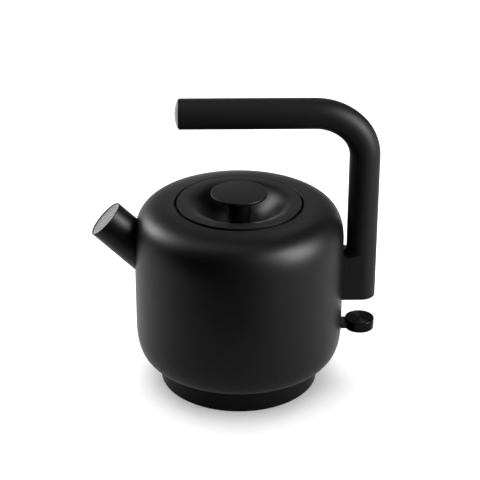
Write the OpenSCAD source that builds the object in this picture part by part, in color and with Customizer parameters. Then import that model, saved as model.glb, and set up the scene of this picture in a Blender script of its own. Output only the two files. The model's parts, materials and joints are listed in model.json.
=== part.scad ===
// Electric kettle on a round power base. It has a short straight spout with a pierced filter,
// a hook handle that is open at the front, a lid that lifts out, and a boil lever at the side.
// Millimetres. +Z is up, the spout points to -X and the handle stands at +X.
// The origin is the centre of the power base, at the height of the table.

/* [Body] */
// Outer radius of the body wall
body_r = 86.2; // [85:0.1:88]
// Height of the body's flat top above the table
body_top = 158.9; // [157:0.1:161]
// Height of the body's flat underside above the table
body_bottom = 21.4; // [21:0.1:22]
// Thickness of the drawn steel wall
wall = 1.2; // [0.8:0.1:1.6]
// Radial reach of the lower corner curve
low_reach = 22; // [20:0.1:24]
// Height of the lower corner curve
low_rise = 36.8; // [36:0.1:38]
// Exponent of the lower corner curve, where 2 is an ellipse
low_power = 3.2; // [2.8:0.01:3.5]
// Radial reach of the shoulder curve
high_reach = 37.9; // [36:0.1:39]
// Height of the shoulder curve
high_rise = 36.7; // [35:0.1:38]
// Exponent of the shoulder curve, where 2 is an ellipse
high_power = 3.14; // [2:0.01:3.5]
// Radius of the filling mouth
mouth_r = 52.9; // [52:0.1:54]
// Height of the top of the welded floor
floor_z = 54; // [53:0.5:56]

/* [Spout] */
// Outer radius of the spout
spout_r = 16.7; // [15:0.1:18]
// Angle of the spout's axis above the horizontal
spout_angle = 44; // [40:1:50]
// Height at which the spout's axis leaves the wall
spout_z = 123; // [121:0.5:125]
// Length of the spout along its axis, outside the wall
spout_l = 32.2; // [28:0.1:36]
// Diameter of one filter hole
filter_hole = 1.1; // [0.8:0.1:1.3]
// Distance between filter holes
filter_pitch = 1.7; // [1.6:0.1:2.2]

/* [Lid] */
// Outer radius of the lid
lid_r = 51.9; // [51:0.1:52.1]
// Depth of the dish in the lid's middle
dish_depth = 15.7; // [13:0.1:16.5]
// Radius at which the dish starts inside the flat rim
dish_r = 44; // [42:0.1:46]
// Radius of the lid knob's disc
knob_r = 23.1; // [20:0.1:25]
// Thickness of the lid knob's disc
knob_t = 2.5; // [2:0.1:4]
// Height of the knob's top face above the body's top
knob_rise = 9.4; // [8:0.1:12]
// Radius of the knob's stem
stem_r = 9.4; // [8:0.1:11]

/* [Handle] */
// Outer radius of the handle tube
tube_r = 12.5; // [11.5:0.1:12.6]
// Wall of the handle tube
tube_wall = 1.6; // [1.2:0.1:2.5]
// Height of the arm's axis
arm_z = 236.6; // [225:0.1:245]
// Distance from the body's centre to the axis of the post
post_x = 101.2; // [100.5:0.1:103]
// Distance that the arm reaches past the body's centre, to the end of the tube
arm_reach = 48.2; // [40:0.1:55]
// Centre line radius of the first half of the bend, next to the arm
bend_r_arm = 43.6; // [38:0.1:50]
// Centre line radius of the second half of the bend, next to the post
bend_r_post = 34; // [30:0.1:40]
// Height of the handle foot's flat underside
foot_bottom = 74.4; // [72:0.1:76]
// Height of the handle foot's saddle
foot_top = 113.5; // [110:0.1:115]

/* [Power base] */
// Outer radius of the power base
base_r = 66; // [65:0.1:68]
// Height of the power base's top plate above the table
base_h = 15; // [14.8:0.1:15.2]
// Bore of the cord grommet
cord_bore = 6.6; // [6:0.1:7]

/* [Boil lever] */
// Radius of the lever's round paddle
paddle_r = 12.3; // [11:0.1:13]
// Height of the paddle's underside
paddle_bottom = 42.8; // [42.5:0.1:43.5]
// Thickness of the paddle
paddle_t = 8.8; // [8:0.1:9]
// Distance from the body's centre to the paddle's centre
paddle_x = 101.8; // [100:0.1:103]
// Distance from the body's centre to the lever's pivot
pivot_x = 66; // [65.5:0.1:66.5]

/* [Hidden] */
$fn = 96;
eps = 0.01;
curve_steps = 22;

// mouth, lid seat and lid, from the top down
lip_r = 0.8;
neck_bottom = body_top - 17;
seat_z = body_top - 7.9;
seat_r = mouth_r - 2.3;
lid_t = 1.2;
dish_z = body_top - dish_depth;
dish_r0 = stem_r + 2.6;
lid_inner_r = 47;
lid_inner_t = 1.6;
lid_inner_z = dish_z - 6.4;
lid_boss_at = 38;
lid_boss_turns = [30, 150, 270];
seal_z = neck_bottom + 1.1;
seal_h = 5.6;
knob_top = body_top + knob_rise;
knob_screw_r = 2;

// underside
floor_t = 1.2;
floor_under = floor_z - floor_t;
cover_r = 51.8;
cover_t = 2;
cover_z = base_h + 0.4;
cover_top = cover_z + cover_t;
cover_rim_t = 1.2;
pillar_at = 47.5;
pillar_r = 3;
pillar_turns = [60, 180, 300];
cover_boss_h = 2;
spreader_r = 44;
spreader_t = 3.5;
spreader_under = floor_under - spreader_t;
element_at = 38;
element_r = 3.4;
element_flat = 2.6;
element_z = spreader_under - element_flat;
element_gap = 32;
control_r = 27;
control_z = 29;
control_top = 44.6;
bimetal_r = 9.5;

// round connector: the plug in the kettle drops over the post on the base
post_r = 17.6;
post_top = 25.4;
well_r = 18.4;
plug_r = 21;
pin_r = 1.8;
ring_t = 0.8;
contact_rings = [6.8, 11.8];
groove_half = 1.1;
groove_z = 16;

// spout, along its own axis
spout_wall = 0.8;
spout_reach = 30;
spout_bore = spout_r - spout_wall;
rim_t = 0.5;
rim_ledge = 0.8;
filter_r = spout_bore - rim_t;
filter_t = 0.5;
filter_seat = spout_l - 1.2;

// handle
half_turn = 45;
bend_x = post_x - bend_r_post - (bend_r_arm - bend_r_post) * sin(half_turn);
knee_x = post_x - bend_r_post;
knee_z = arm_z - bend_r_arm + (bend_r_arm - bend_r_post) * cos(half_turn);
saddle_r = 4;
joint_z = foot_top + 5;
spigot_r = tube_r - tube_wall - 0.05;
spigot_h = 20;
reveal = 0.5;
cap_bulge = 2.9;
cap_sphere_r = (tube_r * tube_r + cap_bulge * cap_bulge) / (2 * cap_bulge);
cap_spigot_h = 9;
tongue_half = 3.5;
tongue_z = 82;
tongue_h = 24;
tongue_end = post_x + 3;
handle_screw_at = [93, 101];

// boil lever: its pivot, the arm, and the trip lever that it moves
lever_z = 46.4;
arm_half = 5.5;
arm_t = 5.5;
arm_low = lever_z - arm_t / 2;
tip_x = 50.6;
tip_half = 3;
tip_low = lever_z - 1.4;
tip_t = 3;
hub_r = 4.2;
hub_y = 2.4;
pivot_pin_r = 1.5;
running = 0.05;
housing_half = 10.5;
channel_half = 8;
window_half = 6.2;
window_low = 39.6;
window_high = 50.8;
trip_x = 30;
trip_z = 43;
trip_pin_r = 1;
trip_half = 2.4;
trip_slot_half = 3.6;
trip_tip_x = 52.2;
spring_wire = 0.45;
spring_coil_r = arm_t / 2 + spring_wire;
spring_turns = 2.75;
spring_y = 2.95;
spring_pitch = 1.15;

// power base
base_wall = 2.2;
skirt_z = 0.3;
base_edge = 1.2;
collar_r = 53.5;
collar_top = body_bottom - 0.6;
plate_z = 1.4;
plate_t = 2;
plate_top = plate_z + plate_t;
plate_r = base_r - base_wall - 0.2;
foot_in = 54;
foot_out = 60;
foot_t = 1.8;
base_boss_at = 50;
base_boss_turns = [30, 150, 270];
connector_r = 23;
cord_z = 8.1;
grommet_r = 4.1;
flange_in = 4.6;
flange_out = 6;

function reversed(points) = [for (i = [len(points) - 1:-1:0]) points[i]];

// Quarter of a superellipse that leaves the flat underside and rises into the wall
function lower_corner(r, z, reach, rise, power) = [
    for (i = [0:curve_steps])
        let (t = 90 * i / curve_steps)
        [r - reach + reach * pow(sin(t), 2 / power), z + rise - rise * pow(cos(t), 2 / power)]
];

// Quarter of a superellipse that leaves the wall and closes over into the flat top
function shoulder(r, z, reach, rise, power) = [
    for (i = [0:curve_steps])
        let (t = 90 * i / curve_steps)
        [r - reach + reach * pow(cos(t), 2 / power), z - rise + rise * pow(sin(t), 2 / power)]
];

// Side of the body, moved in from the outer surface by inset
function body_side(inset) = concat(
    lower_corner(body_r - inset, body_bottom + inset, low_reach - inset, low_rise - inset, low_power),
    shoulder(body_r - inset, body_top - inset, high_reach - inset, high_rise - inset, high_power)
);

// The same side without the part of the shoulder that the mouth removes
function open_side(inset, mouth) = [
    for (p = body_side(inset))
        if (p[1] < body_top / 2 || p[0] > mouth) p
];

// Height of the lid's top face at radius r: a wave between the flat rim and the flat middle
function dish(r) = dish_z + dish_depth * (1 - cos(180 * (r - dish_r0) / (dish_r - dish_r0))) / 2;
function dish_path(drop) = [
    for (i = [0:curve_steps])
        let (r = dish_r0 + (dish_r - dish_r0) * i / curve_steps)
        [r, dish(r) - drop]
];

// Quarter round about (r, z), from angle a to angle b
function round_edge(r, z, radius, a, b) = [
    for (i = [0:4])
        let (t = a + (b - a) * i / 4)
        [r + radius * cos(t), z + radius * sin(t)]
];

module body_solid(inset) {
    rotate_extrude()
        polygon(concat([[0, body_bottom + inset]], body_side(inset), [[0, body_top - inset]]));
}

module ring(inner, outer, z, h) {
    translate([0, 0, z])
        rotate_extrude()
            translate([inner, 0])
                square([outer - inner, h]);
}

module at_turns(turns, r) {
    for (t = turns)
        rotate([0, 0, t])
            translate([r, 0, 0])
                children();
}

// Cylinder along Y between two Y values, in the plane of the lever's pivots
module cross_cylinder(x, z, r, y0, y1) {
    translate([x, y1, z])
        rotate([90, 0, 0])
            cylinder(r = r, h = y1 - y0);
}

// Cap screw with its head's face at z = 0 and its shank pointing up, with a hexagonal socket
module screw(head_r, head_h, shank_r, length) {
    difference() {
        union() {
            cylinder(r = head_r, h = head_h);
            cylinder(r = shank_r, h = length);
        }
        translate([0, 0, -eps])
            cylinder(r = head_r * 0.5, h = head_h * 0.6, $fn = 6);
    }
}

// ---- power base ----

module base_housing() {
    boss_r = 3.5;
    pilot_r = 1.2;
    top_under = base_h - base_wall;
    rest_in = 43;
    rest_out = 48.5;
    color("#1b1b1d")
        difference() {
            union() {
                rotate_extrude()
                    polygon(concat(
                        [[base_r - base_wall, skirt_z], [base_r, skirt_z]],
                        round_edge(base_r - base_edge, collar_top - base_edge, base_edge, 0, 90),
                        round_edge(collar_r + base_edge, collar_top - base_edge, base_edge, 90, 180),
                        [[collar_r, base_h], [post_r + 0.3, base_h], [post_r + 0.3, top_under]],
                        [[collar_r + base_wall, top_under], [collar_r + base_wall, collar_top - base_wall]],
                        [[base_r - base_wall, collar_top - base_wall]]
                    ));
                ring(rest_in, rest_out, base_h, cover_z - base_h);
                at_turns(base_boss_turns, base_boss_at)
                    translate([0, 0, plate_top])
                        cylinder(r = boss_r, h = top_under - plate_top + base_wall / 2);
            }
            at_turns(base_boss_turns, base_boss_at)
                translate([0, 0, plate_top - eps])
                    cylinder(r = pilot_r, h = 7.6);
            cross_cylinder(0, cord_z, grommet_r, base_r - base_wall - 5, base_r + 5);
        }
}

module base_bottom_plate() {
    color("#161617")
        difference() {
            translate([0, 0, plate_z])
                cylinder(r = plate_r, h = plate_t);
            ring(foot_in, foot_out, plate_z - 1, foot_t - plate_z + 1);
            at_turns(base_boss_turns, base_boss_at) {
                translate([0, 0, plate_z - 1])
                    cylinder(r = 1.6, h = plate_t + 2);
                translate([0, 0, plate_z - 1])
                    cylinder(r = 3.2, h = 2.2);
            }
        }
}

module base_foot_ring() {
    color("#101010")
        ring(foot_in, foot_out, 0, foot_t);
}

module base_screws() {
    color("#8c8e90")
        at_turns(base_boss_turns, base_boss_at)
            translate([0, 0, plate_z + 0.1])
                screw(2.9, 1.1, 1.15, 9);
}

module base_connector() {
    body_z = 4;
    top_under = base_h - base_wall;
    hole_r = 2.6;
    color("#141415")
        difference() {
            rotate_extrude()
                polygon(concat(
                    [[0, body_z], [connector_r, body_z], [connector_r, top_under], [post_r, top_under]],
                    round_edge(post_r - 1, post_top - 1, 1, 0, 90),
                    [[0, post_top]]
                ));
            translate([0, 0, 14])
                cylinder(r = hole_r, h = post_top);
            for (r = contact_rings)
                ring(r - groove_half, r + groove_half, groove_z, post_top);
        }
}

module base_contacts() {
    contact_h = 1.2;
    color("#b98d4a") {
        translate([0, 0, 14])
            cylinder(r = 2.4, h = 2.4);
        for (r = contact_rings)
            ring(r - groove_half + 0.2, r + groove_half - 0.2, groove_z, contact_h);
    }
}

module cord_grommet() {
    inner_y = base_r - base_wall;
    color("#131313")
        difference() {
            union() {
                cross_cylinder(0, cord_z, grommet_r, inner_y - 1.6, base_r + 1.2);
                cross_cylinder(0, cord_z, flange_out, base_r, base_r + 1.2);
                cross_cylinder(0, cord_z, flange_in, inner_y - 1.9, inner_y - 0.4);
            }
            cross_cylinder(0, cord_z, cord_bore / 2, inner_y - 5, base_r + 5);
        }
}

// ---- kettle body ----

module spout_frame() {
    translate([-body_r, 0, spout_z])
        rotate([0, spout_angle - 90, 0])
            children();
}

module spout_hole() {
    spout_frame()
        translate([0, 0, -spout_reach])
            cylinder(r = spout_r, h = spout_reach + spout_l);
}

module lever_window() {
    translate([pivot_x + 13, -window_half, window_low])
        cube([30, 2 * window_half, window_high - window_low]);
}

module kettle_shell() {
    color("#151516")
        difference() {
            rotate_extrude()
                polygon(concat(
                    [[cover_r + 0.2, body_bottom]],
                    open_side(0, mouth_r + lip_r),
                    round_edge(mouth_r + lip_r, body_top - lip_r, lip_r, 90, 180),
                    [[mouth_r, neck_bottom], [mouth_r + wall, neck_bottom]],
                    [[mouth_r + wall, body_top - wall]],
                    reversed(open_side(wall, mouth_r + wall)),
                    [[cover_r + 0.2, body_bottom + wall]]
                ));
            spout_hole();
            lever_window();
        }
}

module lid_seat() {
    lead_in = 0.6;
    color("#101011")
        rotate_extrude()
            polygon([
                [mouth_r, neck_bottom], [mouth_r, seat_z], [seat_r + lead_in, seat_z],
                [seat_r, seat_z - lead_in], [seat_r, neck_bottom]
            ]);
}

module spout_tube() {
    mouth_edge = 0.3;
    color("#141415")
        difference() {
            spout_frame()
                rotate_extrude()
                    polygon([
                        [spout_bore, -spout_reach], [spout_r, -spout_reach],
                        [spout_r, spout_l - mouth_edge], [spout_r - mouth_edge, spout_l],
                        [spout_bore, spout_l]
                    ]);
            body_solid(wall);
        }
}

module spout_filter() {
    rows = ceil(filter_r / filter_pitch);
    row_step = filter_pitch * sqrt(3) / 2;
    last_hole = filter_r - 1.2;
    color("#a9abad")
        spout_frame()
            translate([0, 0, filter_seat])
                linear_extrude(filter_t)
                    difference() {
                        circle(r = filter_r);
                        for (row = [-rows - 2:rows + 2], column = [-rows:rows])
                            let (x = filter_pitch * (column + (abs(row) % 2) / 2), y = row_step * row)
                            if (norm([x, y]) < last_hole)
                                translate([x, y])
                                    circle(d = filter_hole, $fn = 16);
                    }
}

module filter_rim() {
    rim_low = filter_seat - 1;
    rim_high = spout_l - 0.2;
    color("#77797b")
        spout_frame()
            rotate_extrude()
                polygon([
                    [filter_r - rim_ledge, rim_low], [spout_bore, rim_low], [spout_bore, rim_high],
                    [filter_r, rim_high], [filter_r, filter_seat], [filter_r - rim_ledge, filter_seat]
                ]);
}

module steam_place(r, turn) {
    rotate([0, 0, turn])
        translate([r, 0, 0])
            children();
}

module steam_tube() {
    steam_at = 76;
    steam_turn = 18;
    steam_r = 4;
    steam_bore = 3.2;
    steam_top = 136;
    run_z = 34;
    elbow_r = 7;
    color("#9a9c9e")
        difference() {
            steam_place(steam_at, steam_turn) {
                translate([0, 0, run_z + elbow_r])
                    linear_extrude(steam_top - run_z - elbow_r)
                        steam_section(steam_r, steam_bore);
                translate([-elbow_r, 0, run_z + elbow_r])
                    rotate([90, 0, 0])
                        rotate_extrude(angle = 90, start = 270)
                            translate([elbow_r, 0])
                                steam_section(steam_r, steam_bore);
                translate([-elbow_r, 0, run_z])
                    rotate([0, -90, 0])
                        linear_extrude(steam_at - elbow_r - control_r + 2)
                            steam_section(steam_r, steam_bore);
            }
            translate([0, 0, control_z])
                cylinder(r = control_r, h = control_top - control_z);
        }
}

module steam_section(outer, bore) {
    difference() {
        circle(r = outer);
        circle(r = bore);
    }
}

module floor_plate() {
    color("#a3a5a7")
        difference() {
            intersection() {
                translate([0, 0, floor_under])
                    cylinder(r = body_r, h = floor_t);
                body_solid(wall);
            }
            steam_place(76, 18)
                translate([0, 0, floor_under - 1])
                    cylinder(r = 4, h = floor_t + 2);
        }
}

module heat_spreader() {
    color("#c4c5c6")
        translate([0, 0, spreader_under])
            cylinder(r = spreader_r, h = spreader_t);
}

module heating_element() {
    tail_r = 2.2;
    tail_low = 38;
    color("#8f8779") {
        rotate_extrude(angle = 360 - 2 * element_gap, start = element_gap)
            translate([element_at, element_z])
                intersection() {
                    circle(r = element_r);
                    translate([-element_r, -element_r])
                        square([2 * element_r, element_r + element_flat]);
                }
        at_turns([element_gap + 4, -element_gap - 4], element_at)
            translate([0, 0, tail_low])
                cylinder(r = tail_r, h = element_z - tail_low);
    }
}

module control_unit() {
    turret_r = 12;
    turret_top = 48.2;
    slot_in = 16;
    lug_end = trip_x + 4;
    lug_t = 2;
    lug_low = 38;
    lug_high = 46.5;
    color("#d8d4c8")
        difference() {
            union() {
                translate([0, 0, control_z])
                    cylinder(r = control_r, h = control_top - control_z);
                translate([0, 0, control_top])
                    cylinder(r = turret_r, h = turret_top - control_top);
                for (y = [-trip_slot_half - lug_t, trip_slot_half])
                    translate([slot_in + 4, y, lug_low])
                        cube([lug_end - slot_in - 4, lug_t, lug_high - lug_low]);
            }
            translate([slot_in, -trip_slot_half, lug_low + 1])
                cube([30, 2 * trip_slot_half, 20]);
            cross_cylinder(trip_x, trip_z, trip_pin_r, -20, 20);
            translate([0, 0, turret_top - 0.6])
                cylinder(r = bimetal_r, h = 5);
        }
}

module bimetal_disc() {
    color("#b9bbbd")
        translate([0, 0, 47.6])
            cylinder(r = bimetal_r, h = 0.5);
}

module connector_plug() {
    skirt_low = 15.6;
    ceiling = 27;
    plug_flange_r = 24;
    plug_flange_t = 2;
    color("#1a1a1b")
        difference() {
            union() {
                translate([0, 0, skirt_low])
                    cylinder(r = plug_r, h = control_z - skirt_low);
                translate([0, 0, cover_top])
                    cylinder(r = plug_flange_r, h = plug_flange_t);
            }
            translate([0, 0, skirt_low - 1])
                cylinder(r = well_r, h = ceiling - skirt_low + 1);
            cylinder(r = pin_r, h = control_z + 1);
        }
}

module plug_pin() {
    tip_z = 17;
    color("#c08f45") {
        translate([0, 0, tip_z + pin_r])
            cylinder(r = pin_r, h = control_z - tip_z - pin_r);
        translate([0, 0, tip_z + pin_r])
            sphere(r = pin_r);
    }
}

module plug_rings() {
    ring_low = 18;
    ceiling = 27;
    color("#c08f45")
        for (r = contact_rings)
            ring(r - ring_t / 2, r + ring_t / 2, ring_low, ceiling - ring_low);
}

module underside_cover() {
    plug_hole = plug_r + 0.2;
    drain_at = 34;
    drain_w = 2.4;
    drain_l = 9;
    drain_turns = [0, 120, 240];
    color("#18181a")
        difference() {
            union() {
                ring(plug_hole, cover_r, cover_z, cover_t);
                ring(cover_r - cover_rim_t, cover_r, cover_z, body_bottom + wall - cover_z);
                at_turns(pillar_turns, pillar_at)
                    translate([0, 0, cover_top])
                        cylinder(r = pillar_r + 0.6, h = cover_boss_h);
            }
            at_turns(pillar_turns, pillar_at) {
                translate([0, 0, cover_z - 1])
                    cylinder(r = 1.6, h = 10);
                translate([0, 0, cover_z - 1])
                    cylinder(r = 2.9, h = 2.8);
            }
            at_turns(drain_turns, drain_at)
                translate([-drain_w / 2, -drain_l / 2, cover_z - 1])
                    cube([drain_w, drain_l, cover_t + 2]);
        }
}

module cover_pillars() {
    pillar_z = cover_top + cover_boss_h;
    color("#a9abad")
        at_turns(pillar_turns, pillar_at)
            translate([0, 0, pillar_z])
                difference() {
                    cylinder(r = pillar_r, h = floor_under - pillar_z);
                    translate([0, 0, -eps])
                        cylinder(r = 1.5, h = 12);
                }
}

module cover_screws() {
    color("#8c8e90")
        at_turns(pillar_turns, pillar_at)
            translate([0, 0, cover_z + 0.1])
                screw(2.7, 1.7, 1.45, 13);
}

// ---- handle ----

// One arc of the bend, in the plane of the handle, about the point (x, z)
module bend_arc(x, z, bend_r, start, turn, r) {
    translate([x, 0, z])
        rotate([90, 0, 0])
            rotate_extrude(angle = turn, start = start)
                translate([bend_r, 0])
                    circle(r = r);
}

// Solid bar of radius r along the arm and its half of the bend, longer by extra at both ends
module arm_bar(r, extra) {
    bend_arc(bend_x, arm_z - bend_r_arm, bend_r_arm, half_turn - extra, half_turn + extra, r);
    translate([-arm_reach - extra, 0, arm_z])
        rotate([0, 90, 0])
            cylinder(r = r, h = arm_reach + bend_x + extra);
}

// Solid bar of radius r along the post and its half of the bend, longer by extra at both ends
module post_bar(r, extra) {
    bend_arc(knee_x, knee_z, bend_r_post, 0, half_turn + extra, r);
    translate([post_x, 0, joint_z - extra])
        cylinder(r = r, h = knee_z - joint_z + extra);
}

// The arm's half and the post's half are butt welded at the knee
module arm_tube() {
    difference() {
        arm_bar(tube_r, 0);
        arm_bar(tube_r - tube_wall, 1);
    }
}

module post_tube() {
    difference() {
        post_bar(tube_r, 0);
        post_bar(tube_r - tube_wall, 1);
    }
}

module handle_tube() {
    color("#17171a") {
        arm_tube();
        post_tube();
    }
}

// Plan of the foot: flat sides that run out of the wall into the round of the tube
module foot_plan() {
    translate([post_x, 0])
        circle(r = tube_r);
    translate([body_r - 4, -tube_r])
        square([post_x - body_r + 4, 2 * tube_r]);
}

// Hollow curve between the foot's saddle and the tube
module saddle_curve() {
    curve = [
        for (i = [0:6])
            let (t = 90 * i / 6)
            [tube_r + saddle_r * (1 - sin(t)), saddle_r * (1 - cos(t))]
    ];
    intersection() {
        translate([post_x, 0, foot_top])
            rotate_extrude()
                polygon(concat([[tube_r - 1, 0]], curve, [[tube_r - 1, saddle_r]]));
        translate([0, 0, foot_top])
            linear_extrude(saddle_r)
                foot_plan();
    }
}

module handle_foot() {
    head_room = 3.3;
    color("#17171a")
        difference() {
            union() {
                translate([0, 0, foot_bottom])
                    linear_extrude(foot_top - foot_bottom)
                        foot_plan();
                saddle_curve();
                translate([post_x, 0, foot_top])
                    cylinder(r = tube_r, h = joint_z - foot_top);
                translate([post_x, 0, joint_z])
                    cylinder(r = spigot_r, h = spigot_h);
            }
            body_solid(0);
            translate([body_r - 10, -tongue_half - 0.1, tongue_z - 0.2])
                cube([tongue_end + 0.3 - body_r + 10, 2 * tongue_half + 0.2, tongue_h + 0.4]);
            for (x = handle_screw_at) {
                translate([x, 0, foot_bottom - 1])
                    cylinder(r = 2.1, h = 12);
                translate([x, 0, foot_bottom - 1])
                    cylinder(r = 3.6, h = head_room + 1);
            }
        }
}

module handle_tongue() {
    color("#8f9193")
        difference() {
            translate([body_r - 6, -tongue_half, tongue_z])
                cube([tongue_end - body_r + 6, 2 * tongue_half, tongue_h]);
            body_solid(0);
            for (x = handle_screw_at)
                translate([x, 0, tongue_z - 1])
                    cylinder(r = 2, h = 16);
        }
}

module handle_screws() {
    color("#8c8e90")
        for (x = handle_screw_at)
            translate([x, 0, foot_bottom + 0.6])
                screw(3.4, 2.6, 1.95, 21);
}

module handle_end_cap() {
    rim_x = -arm_reach - reveal;
    color("#5d5f62") {
        intersection() {
            translate([rim_x - cap_bulge + cap_sphere_r, 0, arm_z])
                sphere(r = cap_sphere_r);
            translate([rim_x, 0, arm_z])
                rotate([0, -90, 0])
                    cylinder(r = tube_r, h = cap_bulge + 1);
        }
        translate([rim_x, 0, arm_z])
            rotate([0, 90, 0])
                cylinder(r = tube_r - 1, h = reveal);
        translate([-arm_reach, 0, arm_z])
            rotate([0, 90, 0])
                cylinder(r = spigot_r, h = cap_spigot_h);
    }
}

// ---- lid ----

module lid_cover() {
    edge = 0.7;
    hole_r = knob_screw_r + 0.2;
    boss_r = 3;
    boss_low = lid_inner_z + lid_inner_t;
    color("#161617")
        difference() {
            union() {
                rotate_extrude()
                    polygon(concat(
                        [[hole_r, dish_z]],
                        dish_path(0),
                        round_edge(lid_r - edge, body_top - edge, edge, 90, 0),
                        [[lid_r, seat_z], [lid_r - lid_t, seat_z], [lid_r - lid_t, body_top - lid_t]],
                        reversed(dish_path(lid_t)),
                        [[hole_r, dish_z - lid_t]]
                    ));
                intersection() {
                    at_turns(lid_boss_turns, lid_boss_at)
                        translate([0, 0, boss_low])
                            cylinder(r = boss_r, h = body_top);
                    rotate_extrude()
                        polygon(concat(
                            [[dish_r0, boss_low]],
                            dish_path(lid_t / 2),
                            [[dish_r, boss_low]]
                        ));
                }
            }
            at_turns(lid_boss_turns, lid_boss_at)
                translate([0, 0, boss_low - eps])
                    cylinder(r = 1.2, h = 11);
        }
}

module lid_knob() {
    under = knob_top - knob_t;
    edge = 0.9;
    blend = 2.4;
    color("#1d1d1f")
        difference() {
            rotate_extrude()
                polygon(concat(
                    [[0, dish_z], [stem_r, dish_z]],
                    [for (t = [0:15:90]) [stem_r + blend * (1 - cos(t)), under - blend * (1 - sin(t))]],
                    round_edge(knob_r - edge, under + edge, edge, -90, 0),
                    round_edge(knob_r - edge, knob_top - edge, edge, 0, 90),
                    [[0, knob_top]]
                ));
            translate([0, 0, dish_z - 1])
                cylinder(r = knob_screw_r, h = 13);
        }
}

module knob_screw() {
    head_h = 2.4;
    color("#8c8e90")
        translate([0, 0, dish_z - lid_t - head_h])
            screw(3.6, head_h, knob_screw_r - 0.05, 14);
}

module lid_inner() {
    flange_t = 1.4;
    flange_out = lid_inner_r + 3;
    color("#202022")
        difference() {
            union() {
                translate([0, 0, lid_inner_z])
                    cylinder(r = lid_inner_r, h = lid_inner_t);
                ring(lid_inner_r - lid_inner_t, lid_inner_r, lid_inner_z, seat_z - 0.4 - lid_inner_z);
                ring(lid_inner_r - 0.5, flange_out, seal_z - flange_t, flange_t);
                ring(lid_inner_r - 0.5, flange_out, seal_z + seal_h, flange_t);
            }
            at_turns(lid_boss_turns, lid_boss_at)
                translate([0, 0, lid_inner_z - 1])
                    cylinder(r = 1.6, h = lid_inner_t + 2);
        }
}

module lid_seal() {
    lip_out = seat_r - 0.25;
    band = 1.6;
    lip_t = 0.8;
    color("#3a3a3c") {
        ring(lid_inner_r, lid_inner_r + band, seal_z, seal_h);
        for (z = [seal_z + 1, seal_z + seal_h - 1 - lip_t])
            ring(lid_inner_r + band - 0.2, lip_out, z, lip_t);
    }
}

module lid_screws() {
    head_h = 1.6;
    color("#8c8e90")
        at_turns(lid_boss_turns, lid_boss_at)
            translate([0, 0, lid_inner_z - head_h])
                screw(2.8, head_h, 1.15, 11);
}

// ---- boil lever ----

module switch_housing() {
    housing_low = 36.5;
    housing_top = 51.5;
    housing_in = pivot_x - 8;
    color("#2a2a2c")
        difference() {
            intersection() {
                translate([housing_in, -housing_half, housing_low])
                    cube([40, 2 * housing_half, housing_top - housing_low]);
                body_solid(wall);
            }
            translate([housing_in - 1, -channel_half, housing_low + 2])
                cube([pivot_x + 14 - housing_in + 1, 2 * channel_half, 20]);
            lever_window();
            cross_cylinder(pivot_x, lever_z, pivot_pin_r, -20, 20);
        }
}

module switch_pin() {
    color("#b4b6b8")
        cross_cylinder(pivot_x, lever_z, pivot_pin_r, -housing_half, housing_half);
}

module trip_pin() {
    pin_half = trip_slot_half + 2;
    color("#b4b6b8")
        cross_cylinder(trip_x, trip_z, trip_pin_r, -pin_half, pin_half);
}

module switch_arm() {
    spring_room = 4.6;
    color("#161617")
        difference() {
            union() {
                translate([pivot_x, -arm_half, arm_low])
                    cube([paddle_x - pivot_x, 2 * arm_half, arm_t]);
                translate([paddle_x, 0, arm_low])
                    cylinder(r = arm_half, h = arm_t);
                cross_cylinder(pivot_x, lever_z, hub_r, -arm_half, hub_y);
                translate([tip_x, -tip_half, tip_low])
                    cube([pivot_x - tip_x, tip_half + hub_y, tip_t]);
            }
            cross_cylinder(pivot_x, lever_z, pivot_pin_r + running, -20, 20);
            translate([pivot_x - spring_room, hub_y, arm_low - 5])
                cube([2 * spring_room, 10, arm_t + 10]);
            translate([paddle_x, 0, arm_low - 1])
                cylinder(r = 1.5, h = arm_t + 2);
            translate([paddle_x, 0, arm_low - 1])
                cylinder(r = 3, h = 2.2);
        }
}

module switch_paddle() {
    edge = 0.5;
    pocket = arm_half + 0.1;
    paddle_top = paddle_bottom + paddle_t;
    color("#202022")
        difference() {
            translate([paddle_x, 0, 0])
                rotate_extrude()
                    polygon(concat(
                        [[0, paddle_bottom]],
                        round_edge(paddle_r - edge, paddle_bottom + edge, edge, -90, 0),
                        round_edge(paddle_r - edge, paddle_top - edge, edge, 0, 90),
                        [[0, paddle_top]]
                    ));
            translate([paddle_x, 0, paddle_bottom - 1])
                cylinder(r = pocket, h = arm_low + arm_t - paddle_bottom + 1);
            translate([paddle_x - 2 * paddle_r, -pocket, paddle_bottom - 1])
                cube([2 * paddle_r, 2 * pocket, arm_low + arm_t - paddle_bottom + 1]);
            translate([paddle_x, 0, paddle_bottom])
                cylinder(r = 1.5, h = paddle_t - 0.9);
        }
}

module paddle_screw() {
    head_h = 1.4;
    color("#8c8e90")
        translate([paddle_x, 0, arm_low + 1.2 - head_h])
            screw(2.8, head_h, 1.45, 7.1);
}

// Tube of wire through rings, each given as [centre, radial direction]. The other direction is Y.
module wire(rings, r) {
    sides = 8;
    points = [
        for (ring = rings, s = [0:sides - 1])
            ring[0] + r * cos(360 * s / sides) * ring[1] + [0, r * sin(360 * s / sides), 0]
    ];
    last = len(rings) - 1;
    faces = concat(
        [[for (s = [sides - 1:-1:0]) s]],
        [[for (s = [0:sides - 1]) last * sides + s]],
        [
            for (i = [0:last - 1], s = [0:sides - 1])
                let (a = i * sides, b = a + sides, n = (s + 1) % sides)
                [a + n, b + n, b + s, a + s]
        ]
    );
    polyhedron(points = points, faces = faces);
}

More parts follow.
